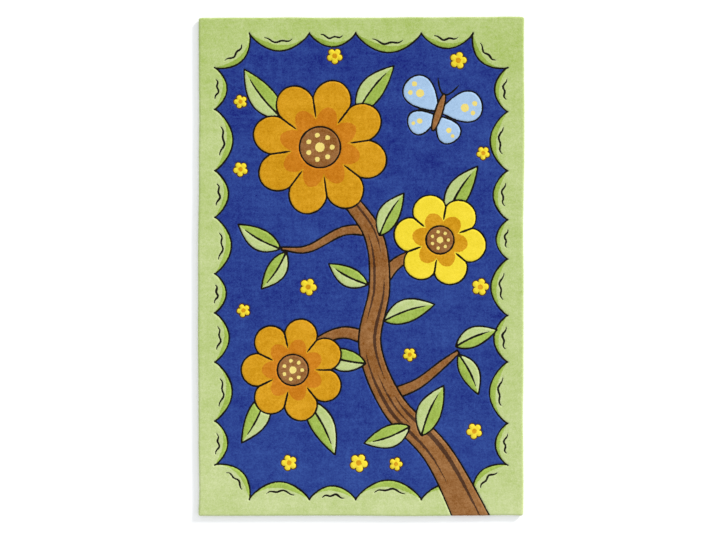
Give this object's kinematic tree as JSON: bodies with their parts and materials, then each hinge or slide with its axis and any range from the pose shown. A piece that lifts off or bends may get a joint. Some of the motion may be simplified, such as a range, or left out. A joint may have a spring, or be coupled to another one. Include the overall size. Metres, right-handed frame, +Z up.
{
  "type": "nursery rug",
  "caption": "Rectangular hand-tufted nursery rug that lies flat, with a dense cut pile carved along the lines of its design.",
  "frame": {"origin": "middle of the flat underside, where the rug rests on the floor", "axes": "+Z up out of the pile; +Y along the rug to its top end; +X to the right as seen from above"},
  "size_m": [1.1098, 1.6986, 0.014],
  "materials": {
    "blue_pile": "royal blue cut pile, matte",
    "green_pile": "light and leaf green cut pile, matte",
    "brown_pile": "brown cut pile with dark streaks, matte",
    "amber_pile": "amber cut pile, matte",
    "yellow_pile": "yellow cut pile, matte",
    "sky_pile": "light blue cut pile, matte",
    "backing": "unbleached plain-weave cotton backing"
  },
  "bodies": {
    "root": {"tufted_rug": "blue_pile"}
  },
  "joints": []
}
